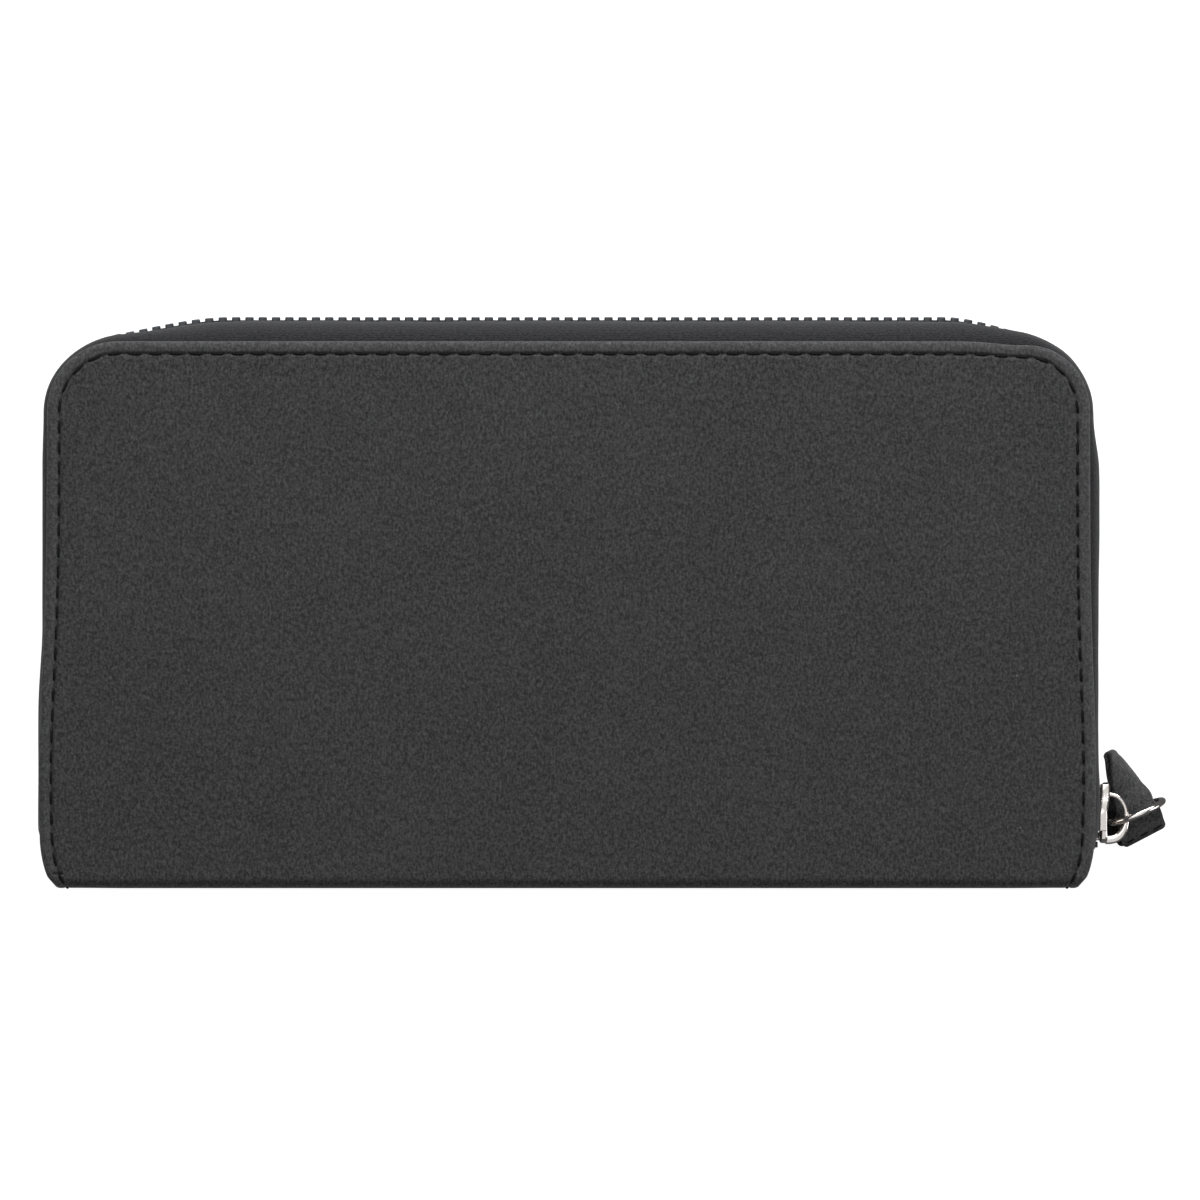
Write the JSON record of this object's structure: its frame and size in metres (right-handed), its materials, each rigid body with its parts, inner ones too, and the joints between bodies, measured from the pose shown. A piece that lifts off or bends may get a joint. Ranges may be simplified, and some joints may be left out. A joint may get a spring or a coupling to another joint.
{
  "type": "zip-around wallet",
  "caption": "Long zip-around wallet in charcoal microfibre: two stitched covers, metal zip on three sides, coin pocket, card pockets and a ring pull with a strap.",
  "frame": {"origin": "centre of the back cover's outer face, which the closed wallet lies on", "axes": "+X along the spine towards the closed end of the zip, +Y from the spine to the long zip side, +Z through the thickness from the back cover to the front cover"},
  "size_m": [0.2079, 0.1043, 0.025],
  "materials": {
    "microfibre": "matt brushed microfibre with a fine grain",
    "lining": "matt woven polyester",
    "pocket": "satin coated split leather",
    "foam": "matt foam sheet",
    "board": "matt fibreboard",
    "thread": "satin polyester thread",
    "zip_tape": "matt woven tape",
    "nickel": "polished nickel plating"
  },
  "bodies": {
    "back": {"back_skin": "microfibre", "back_foam": "foam", "back_board": "board", "back_lining": "lining", "back_stitching": "thread", "back_card_base": "pocket", "back_card_row_1": "pocket", "back_card_row_2": "pocket", "back_card_row_3": "pocket", "back_card_row_4": "pocket", "back_zip_tape": "zip_tape", "back_zip_teeth": "nickel", "back_zip_stop": "nickel", "zip_end_stop": "nickel"},
    "spine": {"spine_skin": "microfibre", "spine_lining": "lining", "divider_strip": "lining", "coin_back_panel": "pocket", "coin_front_panel": "pocket", "coin_lining": "lining", "coin_back_tape": "zip_tape", "coin_front_tape": "zip_tape", "coin_back_teeth": "nickel", "coin_front_teeth": "nickel", "coin_zip_stops": "nickel", "left_gusset": "lining", "right_gusset": "lining"},
    "front": {"front_skin": "microfibre", "front_foam": "foam", "front_board": "board", "front_lining": "lining", "front_stitching": "thread", "front_card_base": "pocket", "front_card_row_1": "pocket", "front_card_row_2": "pocket", "front_card_row_3": "pocket", "front_card_row_4": "pocket", "front_zip_tape": "zip_tape", "front_zip_teeth": "nickel", "front_zip_stop": "nickel"},
    "zip_slider": {"main_slider": "nickel", "slider_bridge": "nickel"},
    "ring": {"pull_ring": "nickel"},
    "strap": {"pull_strap": "microfibre", "strap_stitching": "thread"},
    "coin_slider": {"coin_slider": "nickel"},
    "coin_pull": {"coin_pull": "nickel"}
  },
  "joints": [
    {"name": "spine_fold", "type": "hinge", "parent": "back", "child": "spine", "pos_m": [0, -0.04895, 0.0012], "axis": [1, 0, 0], "range_deg": [0, 30], "deforming": ["left_gusset", "right_gusset"]},
    {"name": "cover_fold", "type": "hinge", "parent": "spine", "child": "front", "pos_m": [0, -0.04895, 0.0238], "axis": [1, 0, 0], "range_deg": [0, 30]},
    {"name": "zip_slide", "type": "slide", "parent": "back", "child": "zip_slider", "axis": [0, 1, 0], "range_m": [0, 0.06], "deforming": ["back_zip_teeth", "front_zip_teeth"]},
    {"name": "ring_swing", "type": "hinge", "parent": "zip_slider", "child": "ring", "pos_m": [0.10272, -0.037, 0.0125], "axis": [0, -1, 0], "range_deg": [0, 90]},
    {"name": "strap_swing", "type": "hinge", "parent": "ring", "child": "strap", "pos_m": [0.1047, -0.0362, 0.0051], "axis": [0.9205, 0.3907, 0], "range_deg": [-12, 3]},
    {"name": "coin_slide", "type": "slide", "parent": "spine", "child": "coin_slider", "axis": [-1, 0, 0], "range_m": [0, 0.15], "deforming": ["coin_back_teeth", "coin_front_teeth"]},
    {"name": "coin_pull_swing", "type": "hinge", "parent": "coin_slider", "child": "coin_pull", "pos_m": [0.0743, 0.04382, 0.0125], "axis": [0, 0, -1], "range_deg": [0, 24]}
  ],
  "couplings": [
    {"joint": "cover_fold", "follows": "spine_fold", "ratio": 1}
  ]
}
